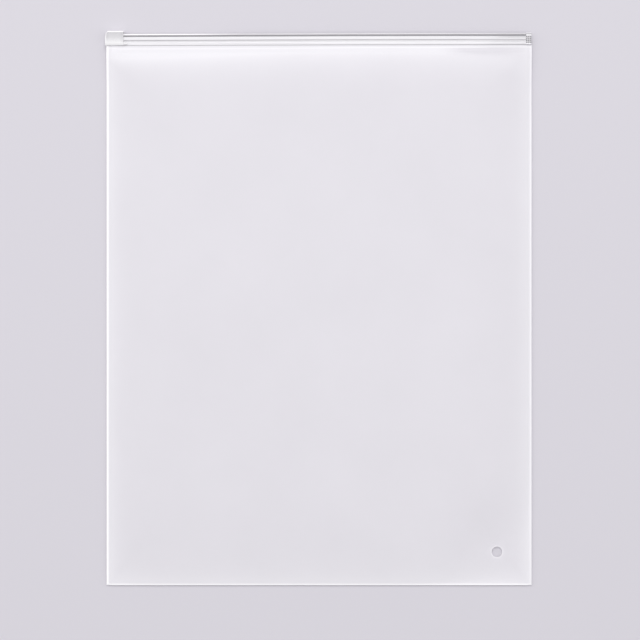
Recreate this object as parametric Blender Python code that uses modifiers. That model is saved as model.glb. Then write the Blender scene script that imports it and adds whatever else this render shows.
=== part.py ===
"""Frosted slider zip bag, lying on its back panel with a little air in it.

It is one folded web of film, two zip tracks sealed into its mouth, and the slider on
them. +X runs along the zip, +Y from the bottom fold to the zip, and +Z up from the
surface that the bag lies on. The origin is the middle of the back panel, on that
surface. Lengths are in metres.
"""

import itertools
import math

import bmesh
import bpy
import numpy as np
from mathutils import Matrix, Vector

# The bag as a whole
BAG_WIDTH = 0.350
BAG_HEIGHT = 0.4535  # bottom fold to the top of the tracks

# The film web: two panels, one fold, two welded side seams
FILM = 0.00012
SEAM_WIDTH = 0.0016
SEAM_HEIGHT = 0.0020  # of the side seams above the surface
SEAM_TAPER = 0.0026  # width over which the panels part beside a seam
FOLD_RADIUS = 0.0004
FOLD_LIFT = 0.0004  # of the fold's underside above the surface
FOLD_SEGMENTS = 5
AIR_DEPTH = 0.0072  # highest point of the front panel
SIDE_REACH = 0.018  # how far in from a seam the front panel rises
FOLD_REACH = 0.024
MOUTH_REACH = 0.030
BACK_REACH = 0.012  # how far in the back panel comes down to the surface
ROUNDING = 2.2  # power of the panels' rounded shoulders
SHOULDER_STEPS = (0.06, 0.16, 0.30, 0.50, 0.74, 1.0)

# The vent hole, through both panels
HOLE_DIAMETER = 0.0088
HOLE_FROM_SIDE = 0.0286
HOLE_FROM_FOLD = 0.0275
HOLE_SIDES = 32

# The section of the zip, as heights down from its top edge
BEAD_HEIGHT = 0.0011
GROOVE_HEIGHT = 0.0015
RAIL_HEIGHT = 0.0027
NECK_HEIGHT = 0.0015
RIDGE_HEIGHT = 0.0015
COLLAR_HEIGHT = 0.0011
TAIL_LENGTH = 0.0053  # below the film's top edge, inside the bag
STEP_SLOPE = 0.0002  # height of the slope at each change of thickness

# The section's half depths, from the middle plane of the zip outwards
BEAD_HALF = 0.00150
WAIST_HALF = 0.00095
RAIL_HALF = 0.00180
NECK_HALF = 0.00085
RIDGE_HALF = 0.00100
TAIL_HALF = 0.00045
CHANNEL_HALF = 0.00050  # between the upper rails, where the slider's foot runs
INNER_HALF = 0.00010  # between the two tracks elsewhere
CORNER_RADIUS = 0.00035
CORNER_SEGMENTS = 3
ROUNDED_CORNERS = (1, 2, 5, 6)  # of outer_side: the edges of the bead and the rail

# The snap: a rib with an arrow head on the back track, two hooks on the front one
SNAP_CLEARANCE = 0.00015
RIB_HALF = 0.00020
HEAD_HALF = 0.00055
HEAD_BASE = 0.00010
HEAD_TIP = 0.00080
HOOK_WALL = 0.00040
HOOK_TIP = 0.00050
HOOK_LEAD = 0.00025

# The flattened, knurled ends of the tracks
CRUSH_LENGTH = 0.0045
CRUSH_HALF = 0.00080
CRUSH_RISE = 0.0004  # it spreads this far above the tracks
CRUSH_LAP = 0.0003  # length over which a pad and the profile are one
CRUSH_INSET = 0.00005  # of a pad's inner face from the profile's
KNURL_PITCH = 0.00148
KNURL_PIT_RADIUS = 0.00060
KNURL_DEPTH = 0.00028
KNURL_PROUD = 1.1  # a pit's cutter starts this much of its depth outside the face

# Gaps between pieces that meet
WELD_GAP = 0.00005  # film to track tail, sealed together on the real bag
EDGE_GAP = 0.00030  # film's top edge to the step of the track above it
RUNNING_GAP = 0.00030  # slider to tracks
TAIL_END_GAP = 0.00030  # track tail to the part of the film that closes to the seam

# The slider
SLIDER_LENGTH = 0.0151
SLIDER_OVERHANG = 0.0008  # past the bag's left edge at rest
SLIDER_TOP_GAP = 0.0009  # its roof over the tracks
SLIDER_ROOF = 0.0012
SLIDER_WALL = 0.0010
SLIDER_LIP_HEIGHT = 0.0018  # of the slope along the walls' lower edges
SLIDER_LIP_DEPTH = 0.0008
SLIDER_CHAMFER = 0.0015  # of the outer top corner
SLIDER_ROUNDING = 0.00035
SLIDER_SURFACE_GAP = 0.0001  # its underside above the surface that the bag lies on
FOOT_START = 0.0061
FOOT_LENGTH = 0.0053
FOOT_DEPTH_GAP = 0.0004
FOOT_TAPER = 0.5
TONGUE_LENGTH = 0.0036
TONGUE_THICKNESS = 0.0009
TONGUE_INSET = 0.0001  # of a tongue from the edges and inner faces of the walls
TONGUE_HEIGHT = 0.0021

# Worked out from the sizes above
HALF_WIDTH = BAG_WIDTH / 2
FOLD_Y = -BAG_HEIGHT / 2
FOLD_AXIS_Y = FOLD_Y + FOLD_RADIUS
TRACK_TOP_Y = BAG_HEIGHT / 2
RAIL_TOP = BEAD_HEIGHT + GROOVE_HEIGHT
RAIL_BOTTOM = RAIL_TOP + RAIL_HEIGHT
RIDGE_TOP = RAIL_BOTTOM + NECK_HEIGHT
RIDGE_BOTTOM = RIDGE_TOP + RIDGE_HEIGHT
COLLAR_BOTTOM = RIDGE_BOTTOM + COLLAR_HEIGHT
FILM_TOP = COLLAR_BOTTOM + EDGE_GAP
TAIL_BOTTOM = FILM_TOP + TAIL_LENGTH
MOUTH_Y = TRACK_TOP_Y - FILM_TOP
WELD_HEIGHT = TAIL_LENGTH + EDGE_GAP
MOUTH_HALF = TAIL_HALF + WELD_GAP
FOLD_HALF = FOLD_RADIUS - FILM
FOLD_HEIGHT = FOLD_LIFT + FOLD_RADIUS
SLIDER_HALF = RAIL_HALF + RUNNING_GAP + SLIDER_WALL
ZIP_HEIGHT = SLIDER_HALF + SLIDER_SURFACE_GAP
CRUSH_START = HALF_WIDTH - CRUSH_LENGTH
CRUSH_BOTTOM = RIDGE_BOTTOM + COLLAR_HEIGHT / 2
CRUSH_INNER_HALF = INNER_HALF + CRUSH_INSET
TAIL_END = HALF_WIDTH - SEAM_WIDTH - SEAM_TAPER - TAIL_END_GAP
SLIDER_X = -HALF_WIDTH - SLIDER_OVERHANG
SLIDER_TOP = SLIDER_TOP_GAP + SLIDER_ROOF
SLIDER_BOTTOM = FILM_TOP - RUNNING_GAP
SLIDER_INNER_HALF = RAIL_HALF + RUNNING_GAP
SHOULDER_HALF = RIDGE_HALF + RUNNING_GAP
FOOT_HALF = CHANNEL_HALF - SNAP_CLEARANCE


def clear_scene():
    """Remove every object, so that the bag is alone."""
    for obj in list(bpy.data.objects):
        bpy.data.objects.remove(obj, do_unlink=True)


def new_collection(name):
    collection = bpy.data.collections.new(name)
    bpy.context.scene.collection.children.link(collection)
    return collection


def new_material(name, colour, roughness):
    """A plastic with an even colour."""
    material = bpy.data.materials.new(name)
    material.use_nodes = True
    shader = material.node_tree.nodes["Principled BSDF"]
    shader.inputs["Base Color"].default_value = (*colour, 1.0)
    shader.inputs["Roughness"].default_value = roughness
    shader.inputs["Metallic"].default_value = 0.0
    material.diffuse_color = (*colour, 1.0)
    return material


def object_from_bmesh(name, bm, collection):
    """Faces turned outwards, then a new object that holds them."""
    bmesh.ops.recalc_face_normals(bm, faces=bm.faces)
    mesh = bpy.data.meshes.new(name)
    bm.to_mesh(mesh)
    bm.free()
    obj = bpy.data.objects.new(name, mesh)
    collection.objects.link(obj)
    return obj


def hide_tool(obj):
    """A piece that only cuts or joins another one."""
    obj.hide_render = True
    obj.display_type = "WIRE"
    return obj


def add_boolean(obj, name, operation, tool):
    modifier = obj.modifiers.new(name, "BOOLEAN")
    modifier.operation = operation
    modifier.object = tool
    modifier.solver = "EXACT"


def add_box(bm, corner, other):
    """A box between two opposite corners, added to a mesh that is being made."""
    low = Vector([min(pair) for pair in zip(corner, other)])
    high = Vector([max(pair) for pair in zip(corner, other)])
    size = Matrix.Diagonal((*(high - low), 1.0))
    place = Matrix.Translation((low + high) / 2)
    return bmesh.ops.create_cube(bm, size=1.0, matrix=place @ size)["verts"]


def extruded(name, outline, length, collection):
    """A mesh object from a closed outline of points (y, z), carried along X to length
    on each side of the middle. Flat faces, the ends too, are one face each."""
    curve = bpy.data.curves.new(name, "CURVE")
    curve.dimensions = "2D"
    curve.fill_mode = "BOTH"
    curve.extrude = length
    spline = curve.splines.new("POLY")
    spline.points.add(len(outline) - 1)
    spline.use_cyclic_u = True
    for point, (y, z) in zip(spline.points, outline):
        point.co = (y, z, 0.0, 1.0)
    section = bpy.data.objects.new(name + "_section", curve)
    section.rotation_euler = (math.pi / 2, 0.0, math.pi / 2)
    collection.objects.link(section)
    bpy.context.view_layer.update()
    graph = bpy.context.evaluated_depsgraph_get()
    mesh = bpy.data.meshes.new_from_object(section.evaluated_get(graph))
    mesh.transform(section.matrix_world)
    bpy.data.objects.remove(section, do_unlink=True)
    bm = bmesh.new()
    bm.from_mesh(mesh)
    bmesh.ops.remove_doubles(bm, verts=bm.verts, dist=1e-7)
    bmesh.ops.dissolve_degenerate(bm, dist=1e-7, edges=bm.edges)
    bm.normal_update()
    flat = math.radians(1)
    bmesh.ops.dissolve_limit(bm, angle_limit=flat, verts=bm.verts, edges=bm.edges)
    return object_from_bmesh(name, bm, collection)


def smooth_step(value):
    """0 below 0, 1 above 1, and level at both ends."""
    value = np.clip(value, 0.0, 1.0)
    return value * value * (3.0 - 2.0 * value)


def shoulder(distance, reach):
    """0 at an edge and 1 from reach inwards, steep at first and then level."""
    return 1.0 - (1.0 - np.clip(distance / reach, 0.0, 1.0)) ** ROUNDING


def seam_line(y):
    """Height of the side seams: the zip's at the mouth, the fold's at the bottom."""
    to_mouth = smooth_step(1.0 - (MOUTH_Y - WELD_HEIGHT - y) / MOUTH_REACH)
    to_fold = smooth_step(1.0 - (y - FOLD_AXIS_Y) / FOLD_REACH)
    rise = (ZIP_HEIGHT - SEAM_HEIGHT) * to_mouth
    return SEAM_HEIGHT + rise + (FOLD_HEIGHT - SEAM_HEIGHT) * to_fold


def least_gap(x, y):
    """Half the gap between the panels with no air in the bag: none at the seams, the
    fold's own inside radius along the panels, and the tracks' tails at the mouth."""
    apart = smooth_step((HALF_WIDTH - SEAM_WIDTH - np.abs(x)) / SEAM_TAPER)
    at_mouth = smooth_step(1.0 - (MOUTH_Y - WELD_HEIGHT - y) / BACK_REACH)
    return apart * (FOLD_HALF + (MOUTH_HALF - FOLD_HALF) * at_mouth)


def panel_inside(x, y, front):
    """Height of a panel's inner face. The front panel rises from its edges to the
    depth of the air, and the back panel sinks to the surface."""
    line, gap = seam_line(y), least_gap(x, y)
    from_seam = HALF_WIDTH - SEAM_WIDTH - np.abs(x)
    from_mouth = MOUTH_Y - WELD_HEIGHT - y
    from_fold = y - FOLD_AXIS_Y
    if front:
        filled = shoulder(from_seam, SIDE_REACH) * shoulder(from_fold, FOLD_REACH)
        filled = filled * shoulder(from_mouth, MOUTH_REACH)
        start, end = line + gap, AIR_DEPTH - FILM
    else:
        filled = shoulder(from_seam, BACK_REACH) * shoulder(from_fold, BACK_REACH)
        filled = filled * shoulder(from_mouth, MOUTH_REACH)
        start, end = line - gap, FILM
    return start + (end - start) * filled


def web_rows():
    """The rows round the web, from the front mouth edge round the fold to the back
    one: each row's y, the side it is on, and its angle round the fold."""
    from_mouth = [0.0, WELD_HEIGHT]
    from_mouth += [WELD_HEIGHT + MOUTH_REACH * step for step in SHOULDER_STEPS]
    from_fold = [FOLD_REACH * step for step in reversed(SHOULDER_STEPS)] + [0.0]
    panel_y = [MOUTH_Y - distance for distance in from_mouth] + [0.0]
    panel_y += [FOLD_AXIS_Y + distance for distance in from_fold]
    front = [(y, 1, math.pi / 2) for y in panel_y]
    turn = math.pi / FOLD_SEGMENTS
    fold = [
        (FOLD_AXIS_Y, 0, math.pi / 2 - turn * step) for step in range(1, FOLD_SEGMENTS)
    ]
    back = [(y, -1, -math.pi / 2) for y in reversed(panel_y)]
    return front + fold + back


def web_columns():
    """Places across the bag, closer together over the shoulders at both seams."""
    inner_edge = HALF_WIDTH - SEAM_WIDTH
    steps = sorted({*SHOULDER_STEPS, SEAM_TAPER / SIDE_REACH})
    left = [-inner_edge] + [-inner_edge + SIDE_REACH * step for step in steps]
    return np.array(left + [0.0] + [-x for x in reversed(left)])


def skin(columns, rows, offset):
    """One face of the web as a grid of points: the inner face, moved out by offset."""
    points = np.zeros((len(rows), len(columns), 3))
    for index, (y, side, angle) in enumerate(rows):
        if side:
            height = panel_inside(columns, np.full_like(columns, y), side > 0)
            points[index] = np.stack(
                [columns, np.full_like(columns, y), height + side * offset], axis=1
            )
        else:
            radius = least_gap(columns, np.full_like(columns, y)) + offset
            height = seam_line(y) + radius * math.sin(angle)
            points[index] = np.stack(
                [columns, y - radius * math.cos(angle), height], axis=1
            )
    return points


def grid_faces(index):
    """Two triangles for each cell of a grid of point numbers, all cut the same way."""
    a, b = index[:-1, :-1].ravel(), index[:-1, 1:].ravel()
    c, d = index[1:, 1:].ravel(), index[1:, :-1].ravel()
    return np.concatenate([np.stack([a, b, c], axis=1), np.stack([a, c, d], axis=1)])


def web_wall():
    """The web as one closed wall: an outer and an inner face, welded together in the
    side seams and joined by a rim round the open mouth."""
    rows, inner_columns = web_rows(), web_columns()
    outer_columns = np.concatenate([[-HALF_WIDTH], inner_columns, [HALF_WIDTH]])
    outer = skin(outer_columns, rows, FILM)
    inner = skin(inner_columns, rows, 0.0)
    points = np.concatenate([outer.reshape(-1, 3), inner.reshape(-1, 3)])
    outer_index = np.arange(outer.size // 3).reshape(outer.shape[:2])
    inner_index = np.arange(outer.size // 3, len(points)).reshape(inner.shape[:2])
    faces = grid_faces(outer_index).tolist()
    faces += grid_faces(inner_index)[:, ::-1].tolist()
    for end in (0, -1):
        rim = np.stack([outer_index[end, 1:-1], inner_index[end]])
        faces += grid_faces(rim).tolist()
    for edge, beside in ((0, 1), (-1, -2)):
        side = outer_index[:, edge]
        wall = np.stack([side[: len(side) // 2], side[: (len(side) - 1) // 2 : -1]])
        faces += grid_faces(wall).tolist()
        seam_end = [side[0], outer_index[0, beside], inner_index[0, edge]]
        faces.append(seam_end + [outer_index[-1, beside], side[-1]])
    bm = bmesh.new()
    vertices = [bm.verts.new(point) for point in points]
    for face in faces:
        bm.faces.new([vertices[number] for number in face])
    bmesh.ops.remove_doubles(bm, verts=bm.verts, dist=1e-7)
    bmesh.ops.dissolve_degenerate(bm, dist=1e-8, edges=bm.edges)
    return bm


def make_film(collection, tools, material):
    """The folded and welded web, with the vent hole punched through both panels."""
    film = object_from_bmesh("film_pouch", web_wall(), collection)
    film.data.materials.append(material)
    bm = bmesh.new()
    bmesh.ops.create_cone(
        bm,
        cap_ends=True,
        segments=HOLE_SIDES,
        radius1=HOLE_DIAMETER / 2,
        radius2=HOLE_DIAMETER / 2,
        depth=AIR_DEPTH * 2,
    )
    punch = hide_tool(object_from_bmesh("vent_hole_punch", bm, tools))
    hole_x, hole_y = HALF_WIDTH - HOLE_FROM_SIDE, FOLD_Y + HOLE_FROM_FOLD
    punch.location = (hole_x, hole_y, AIR_DEPTH / 2)
    add_boolean(film, "vent_hole", "DIFFERENCE", punch)
    return film


def rounded(points, round_at):
    """A closed outline with an arc at each of the numbered corners."""
    outline = []
    for number, point in enumerate(points):
        corner = Vector(point)
        if number not in round_at:
            outline.append(corner)
            continue
        before = (Vector(points[number - 1]) - corner).normalized()
        after = (Vector(points[(number + 1) % len(points)]) - corner).normalized()
        half_angle = before.angle(after) / 2
        inwards = (before + after).normalized()
        centre = corner + inwards * (CORNER_RADIUS / math.sin(half_angle))
        start = corner + before * (CORNER_RADIUS / math.tan(half_angle)) - centre
        end = corner + after * (CORNER_RADIUS / math.tan(half_angle)) - centre
        turn = start.angle_signed(end)
        for step in range(CORNER_SEGMENTS + 1):
            spoke = Matrix.Rotation(-turn * step / CORNER_SEGMENTS, 2) @ start
            outline.append(centre + spoke)
    return outline


def outer_side():
    """The outer side of a track's section, from its top edge to the end of its tail,
    as distances down from the top and out from the zip's middle plane."""
    return [
        (0.0, CHANNEL_HALF),
        (0.0, BEAD_HALF),
        (BEAD_HEIGHT, BEAD_HALF),
        (BEAD_HEIGHT + STEP_SLOPE, WAIST_HALF),
        (RAIL_TOP - STEP_SLOPE, WAIST_HALF),
        (RAIL_TOP, RAIL_HALF),
        (RAIL_BOTTOM, RAIL_HALF),
        (RAIL_BOTTOM + STEP_SLOPE, NECK_HALF),
        (RIDGE_TOP, NECK_HALF),
        (RIDGE_TOP + STEP_SLOPE, RIDGE_HALF),
        (RIDGE_BOTTOM - STEP_SLOPE, RIDGE_HALF),
        (RIDGE_BOTTOM, NECK_HALF),
        (COLLAR_BOTTOM - STEP_SLOPE, NECK_HALF),
        (COLLAR_BOTTOM, TAIL_HALF),
        (TAIL_BOTTOM, TAIL_HALF),
    ]


def about_rail(half):
    """Half a snap's outline, given from the tail towards the middle of the main rail,
    and the same mirrored past the middle."""
    middle = (RAIL_TOP + RAIL_BOTTOM) / 2
    below = [(middle + away, out) for away, out in half]
    return below + [(middle - away, out) for away, out in reversed(half)]


def hook_side():
    """The inner side of the front track's section, from the tail up: two hooks that
    reach across the middle plane, each with a barb that holds the arrow head."""
    pocket = HEAD_HALF + SNAP_CLEARANCE
    hook = pocket + HOOK_WALL
    barb = RIB_HALF + SNAP_CLEARANCE
    barb_top = HEAD_BASE - SNAP_CLEARANCE
    half = [
        (hook, INNER_HALF),
        (hook, HOOK_LEAD - HOOK_TIP),
        (hook - HOOK_LEAD / 2, -HOOK_TIP),
        (barb + HOOK_LEAD, -HOOK_TIP),
        (barb, HOOK_LEAD - HOOK_TIP),
        (barb, barb_top),
        (pocket, barb_top),
        (pocket, HEAD_TIP + SNAP_CLEARANCE),
    ]
    return about_rail(half)


def rib_side():
    """The inner side of the back track's section, from the tail up: a bay that the
    hooks reach into, and the rib with its arrow head in the bay's middle."""
    bay = HEAD_HALF + HOOK_WALL + 2 * SNAP_CLEARANCE
    floor = HOOK_TIP + SNAP_CLEARANCE
    half = [
        (bay, INNER_HALF),
        (bay, floor),
        (RIB_HALF, floor),
        (RIB_HALF, -HEAD_BASE),
        (HEAD_HALF, -HEAD_BASE),
        (HEAD_HALF, -HEAD_BASE - SNAP_CLEARANCE),
        (RIB_HALF, -HEAD_TIP),
    ]
    return about_rail(half)


def knurl_cutter(name, side, tools):
    """Rows of four-sided pits over both flattened ends of one track."""
    bm = bmesh.new()
    depth = KNURL_DEPTH * KNURL_PROUD
    out = ZIP_HEIGHT + side * (CRUSH_HALF - KNURL_DEPTH + depth / 2)
    flip = Matrix.Rotation(0.0 if side < 0 else math.pi, 4, "X")
    columns = int(CRUSH_LENGTH / KNURL_PITCH)
    rows = int((CRUSH_BOTTOM - RAIL_TOP) / KNURL_PITCH)
    middle_x = HALF_WIDTH - CRUSH_LENGTH / 2
    middle_y = TRACK_TOP_Y - (RAIL_TOP + CRUSH_BOTTOM) / 2
    for end, column, row in itertools.product((-1, 1), range(columns), range(rows)):
        x = end * middle_x + (column - (columns - 1) / 2) * KNURL_PITCH
        y = middle_y + (row - (rows - 1) / 2) * KNURL_PITCH
        bmesh.ops.create_cone(
            bm,
            cap_ends=True,
            segments=4,
            radius1=KNURL_PIT_RADIUS * KNURL_PROUD,
            radius2=0.0,
            depth=depth,
            matrix=Matrix.Translation((x, y, out)) @ flip,
        )
    return hide_tool(object_from_bmesh(name, bm, tools))


def end_boxes(name, tools, inner, outer, near, far):
    """The same box at both ends of a track: from x inner to outer, and between two
    corners (y, z)."""
    bm = bmesh.new()
    for end in (-1, 1):
        add_box(bm, (end * inner, *near), (end * outer, *far))
    return hide_tool(object_from_bmesh(name, bm, tools))


def make_track(name, side, inner_side, collection, tools, material):
    """One extruded zip profile, with a flattened and knurled pad at each end. side is
    1 for the front panel's track and -1 for the back panel's."""
    outline = rounded(outer_side() + [(TAIL_BOTTOM, INNER_HALF)], ROUNDED_CORNERS)
    outline += inner_side
    outline.append((RAIL_TOP - STEP_SLOPE, INNER_HALF))
    outline.append((RAIL_TOP - 2 * STEP_SLOPE, CHANNEL_HALF))
    points = [(TRACK_TOP_Y - down, ZIP_HEIGHT + side * out) for down, out in outline]
    track = extruded(name, points, CRUSH_START + CRUSH_LAP, collection)
    track.data.materials.append(material)

    tail_bottom = TRACK_TOP_Y - TAIL_BOTTOM - CRUSH_LAP
    top = TRACK_TOP_Y + CRUSH_RISE
    tail_trim = end_boxes(
        name + "_tail_trim",
        tools,
        TAIL_END,
        HALF_WIDTH,
        (tail_bottom, ZIP_HEIGHT - RAIL_HALF),
        (MOUTH_Y + EDGE_GAP / 2, ZIP_HEIGHT + RAIL_HALF),
    )
    add_boolean(track, "tail_trim", "DIFFERENCE", tail_trim)
    snap_trim = end_boxes(
        name + "_snap_trim",
        tools,
        CRUSH_START - CRUSH_LAP,
        CRUSH_START + 2 * CRUSH_LAP,
        (tail_bottom, ZIP_HEIGHT + side * (INNER_HALF + CRUSH_INSET / 2)),
        (top, ZIP_HEIGHT - side * RAIL_HALF),
    )
    add_boolean(track, "snap_trim", "DIFFERENCE", snap_trim)
    pads = end_boxes(
        name + "_end_pads",
        tools,
        CRUSH_START,
        HALF_WIDTH,
        (TRACK_TOP_Y - CRUSH_BOTTOM, ZIP_HEIGHT + side * CRUSH_INNER_HALF),
        (top, ZIP_HEIGHT + side * CRUSH_HALF),
    )
    add_boolean(track, "end_pads", "UNION", pads)
    add_boolean(track, "knurl", "DIFFERENCE", knurl_cutter(name + "_knurl", side, tools))
    return track


def saddle_outline():
    """The saddle's section as points (up, out), with 0 up at the track's top edge and
    0 out on the zip's middle plane: a roof, two walls and their inward shoulders."""
    half = [
        (SLIDER_TOP, SLIDER_HALF),
        (SLIDER_LIP_HEIGHT - SLIDER_BOTTOM, SLIDER_HALF),
        (-SLIDER_BOTTOM, SLIDER_HALF - SLIDER_LIP_DEPTH),
        (-SLIDER_BOTTOM, SHOULDER_HALF),
        (-RAIL_BOTTOM - RUNNING_GAP, SHOULDER_HALF),
        (-RAIL_BOTTOM - RUNNING_GAP, SLIDER_INNER_HALF),
        (SLIDER_TOP_GAP, SLIDER_INNER_HALF),
    ]
    return half + [(up, -out) for up, out in reversed(half)]


def make_slider(collection, tools, material):
    """The moulded saddle. Its own origin is at its left end, on the zip's middle
    plane and level with the top of the tracks, which is the line that it slides on."""
    place = Vector((SLIDER_X, TRACK_TOP_Y, ZIP_HEIGHT))
    slider = extruded("slider", saddle_outline(), SLIDER_LENGTH / 2, collection)
    slider.data.transform(Matrix.Translation((SLIDER_LENGTH / 2, 0.0, 0.0)))
    slider.data.materials.append(material)
    slider.location = place
    bevel = slider.modifiers.new("soft_edges", "BEVEL")
    bevel.width = SLIDER_ROUNDING
    bevel.segments = 2
    bevel.limit_method = "ANGLE"
    bevel.angle_limit = math.radians(30)

    bm = bmesh.new()
    across = SLIDER_CHAMFER * math.sqrt(2)
    corner = Matrix.Translation((0.0, SLIDER_TOP, 0.0))
    turn = Matrix.Rotation(math.radians(45), 4, "Z")
    shape = Matrix.Diagonal((across, across, SLIDER_HALF * 4, 1.0))
    bmesh.ops.create_cube(bm, size=1.0, matrix=corner @ turn @ shape)
    corner_cut = hide_tool(object_from_bmesh("slider_corner_cut", bm, tools))
    corner_cut.location = place
    add_boolean(slider, "corner_cut", "DIFFERENCE", corner_cut)

    bm = bmesh.new()
    foot_end = FOOT_START + FOOT_LENGTH
    foot = add_box(
        bm,
        (FOOT_START, FOOT_DEPTH_GAP - RAIL_TOP, -FOOT_HALF),
        (foot_end, SLIDER_TOP_GAP + SLIDER_ROOF / 2, FOOT_HALF),
    )
    for vertex in foot:
        if vertex.co.x > (FOOT_START + foot_end) / 2:
            vertex.co.z *= FOOT_TAPER
    low = SLIDER_ROUNDING + TONGUE_INSET - SLIDER_BOTTOM
    near = SHOULDER_HALF + TONGUE_INSET
    for side in (-1, 1):
        add_box(
            bm,
            (SLIDER_LENGTH / 2, low, side * near),
            (
                SLIDER_LENGTH + TONGUE_LENGTH,
                low + TONGUE_HEIGHT,
                side * (near + TONGUE_THICKNESS),
            ),
        )
    added = hide_tool(object_from_bmesh("slider_foot_and_tongues", bm, tools))
    added.location = place
    add_boolean(slider, "foot_and_tongues", "UNION", added)
    return slider


def main():
    clear_scene()
    bag = new_collection("zip_bag")
    tools = new_collection("cutting_tools")
    tools.hide_render = True
    frosted = new_material("frosted_film", (0.80, 0.79, 0.84), 0.45)
    clear_track = new_material("zip_track_plastic", (0.86, 0.86, 0.88), 0.25)
    milky = new_material("slider_plastic", (0.88, 0.88, 0.90), 0.30)
    make_film(bag, tools, frosted)
    make_track("track_front", 1, hook_side(), bag, tools, clear_track)
    make_track("track_back", -1, rib_side(), bag, tools, clear_track)
    make_slider(bag, tools, milky)


main()
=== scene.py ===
"""The frosted slider zip bag, dressed for its picture: it lies on its back panel on a
pale floor, in soft studio light, and the camera looks straight down on it.

The film, the two zip tracks and the slider are surfaces worked out with numpy round the
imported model. +X runs along the zip, +Y from the bottom fold to the zip, and +Z up from
the floor. Lengths are in metres.
"""

import math

import bmesh
import bpy
import numpy as np
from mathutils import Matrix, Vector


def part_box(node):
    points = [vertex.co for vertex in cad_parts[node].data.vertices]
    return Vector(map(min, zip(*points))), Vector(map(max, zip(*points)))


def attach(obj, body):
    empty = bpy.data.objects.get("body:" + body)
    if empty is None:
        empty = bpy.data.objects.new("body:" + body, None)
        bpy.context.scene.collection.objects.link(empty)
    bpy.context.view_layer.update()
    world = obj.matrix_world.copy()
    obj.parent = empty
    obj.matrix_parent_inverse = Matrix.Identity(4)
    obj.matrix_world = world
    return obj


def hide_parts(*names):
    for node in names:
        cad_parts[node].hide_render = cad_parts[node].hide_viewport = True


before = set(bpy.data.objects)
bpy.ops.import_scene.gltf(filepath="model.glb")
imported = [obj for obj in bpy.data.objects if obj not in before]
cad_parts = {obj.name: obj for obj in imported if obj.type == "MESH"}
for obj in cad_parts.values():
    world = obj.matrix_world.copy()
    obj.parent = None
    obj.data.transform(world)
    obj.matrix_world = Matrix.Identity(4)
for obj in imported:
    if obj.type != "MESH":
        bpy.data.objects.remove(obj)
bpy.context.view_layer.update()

# The film
FILM = 0.00012
SEAM_WIDTH = 0.0016
SEAM_HEIGHT = 0.0017  # of the side seams above the floor
SEAM_TAPER = 0.0026  # width over which the panels part beside a seam
SEAM_BEAD = 0.00022  # radius of the melted bead along a hot-cut seam
FOLD_RADIUS = 0.0004
FOLD_LIFT = 0.0011  # of the fold's underside above the floor
FOLD_STEPS = 8
FLOOR_GAP = 0.00004  # from the floor to the back panel
SIDE_REACH = 0.045  # how far in from a seam the front panel rises
FOLD_REACH = 0.075
MOUTH_REACH = 0.034
BACK_REACH = 0.012  # how far in the back panel comes down to the floor
SEAM_REACH = 0.030  # over which the side seams ease to the zip and to the fold
ROUNDING = 2.2  # power of the panels' rounded shoulders
MOUTH_ROUNDING = 3.2
RELIEF_FADE = 0.010  # from the seams and the fold to the full height of the relief
RELIEF_FADE_AT_ZIP = 0.004

# The seal of the film to the tracks: the distance of its lower line from the film's top
# edge, and where that grows less along the zip, as a start, a width and how much less
SEAL_LINE = 0.0021
SEAL_STEPS = [(-0.040, 0.090, 0.0004), (0.110, 0.040, 0.0003)]
SEAL_SOFT = 0.0006
SEAL_WHITENESS = 0.35

# Where the film is painted white: fused or pressed film, and painted highlights on the
# seams and the fold. A span is a start and a width.
SEAM_SOFT = 0.0004  # half width of the soft edge of a seam's whiteness
# The right seam is less white than the left one as painted light from the left
RIGHT_SEAM_LOSS = 0.74  # how much less white the right seam is than the left one
RIGHT_SEAM_TOP_LOSS = 0.16
RIGHT_SEAM_TOP = (0.150, 0.040)
# The fold's white strip: the doubled film at its edge, and a painted highlight on it
FOLD_WHITE_AND_HIGHLIGHT = 0.0012
RIM_PRESSED = 0.0011
RIM_WHITENESS = 0.45

# Painted light on the film: a band under the zip, wider on the left, and strips beside
# the seams and the fold, cut back as painted shade at the seal and under the knurled end
PAINTED_LIGHT_UNDER_ZIP = 0.005
PAINTED_LIGHT_MORE_LEFT = 0.0055
PAINTED_LIGHT_LEFT_SPAN = (-0.150, 0.170)
PAINTED_LIGHT_FADE = 0.0085
SEAM_PAINTED_LIGHT = 0.85
SEAM_PAINTED_LIGHT_FADE = 0.0095
FOLD_PAINTED_LIGHT = 0.75
FOLD_PAINTED_LIGHT_FADE = 0.014
SEAL_EDGE_SHADE = 0.35
SHADE_UNDER_END_SPAN = (0.095, 0.045)
SHADE_UNDER_END_HEIGHT = 0.006
SHADE_UNDER_END = 2.2

# The vent hole
HOLE_RADIUS = 0.0044
HOLE_FROM_SIDE = 0.0286
HOLE_FROM_FOLD = 0.0275
HOLE_BLOCK = 0.0040  # half side of the square of grid cells that becomes the hole
HOLE_EASE = 0.0120  # half side of the square that is drawn in round the hole
HOLE_CELL = 0.00066  # spacing of the grid through the block
HOLE_SAG = 0.0055  # load that presses the front panel down at the hole, as a depth
HOLE_SAG_REACH = 0.030

# Tolerances
TINY = 1e-9
NEARLY = 1e-6  # points closer than this are one
NO_LENGTH = 1e-7
SHARP_ANGLE = math.radians(50)

# The zip's section, as heights down from its top edge
BEAD_HEIGHT = 0.0011
GROOVE_HEIGHT = 0.0015
RAIL_HEIGHT = 0.0026
NECK_HEIGHT = 0.0017
RIDGE_HEIGHT = 0.0014
COLLAR_HEIGHT = 0.0011
TAIL_LENGTH = 0.0053
EDGE_GAP = 0.0003
STEP_SLOPE = 0.0002  # height of the slope at each change of thickness

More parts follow.
